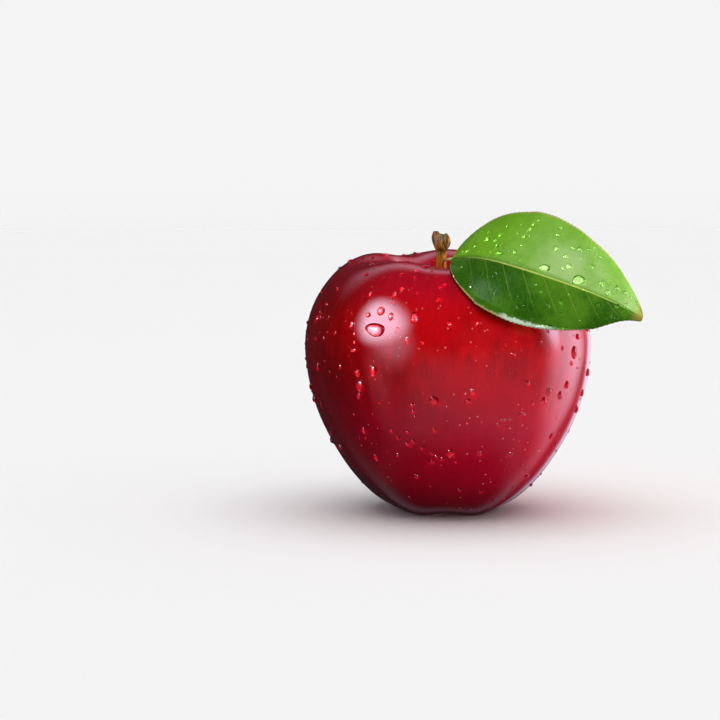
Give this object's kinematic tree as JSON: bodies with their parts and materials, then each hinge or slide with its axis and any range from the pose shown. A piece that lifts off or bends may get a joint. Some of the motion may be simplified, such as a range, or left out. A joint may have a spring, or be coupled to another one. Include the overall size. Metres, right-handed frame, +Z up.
{
  "type": "apple",
  "caption": "Softly lobed eating apple standing on its base, with a short woody stem, a leaf on a thin stalk and a dried flower in its underside.",
  "frame": {"origin": "middle of the whole object's box as seen from above, on the surface that the fruit's feet rest on", "axes": "+X towards the leaf's tip, -Y towards the side that the leaf hangs on, +Z up along the fruit's own axis"},
  "size_m": [0.0926, 0.08, 0.0856],
  "materials": {
    "skin": "waxy deep red skin with faint streaks, pale dots and yellow-green hollows",
    "stem": "rough brown bark with lengthwise ridges",
    "leaf": "satin green with pale veins",
    "stalk": "satin pale green",
    "dried_flower": "dry, brown and fibrous",
    "water": "clear water beads"
  },
  "bodies": {
    "root": {"fruit": "skin", "stem": "stem", "leaf_blade": "leaf", "leaf_stalk": "stalk", "sepal_1": "dried_flower", "sepal_2": "dried_flower", "sepal_3": "dried_flower", "sepal_4": "dried_flower", "sepal_5": "dried_flower", "stamen_tuft": "dried_flower"}
  },
  "joints": []
}
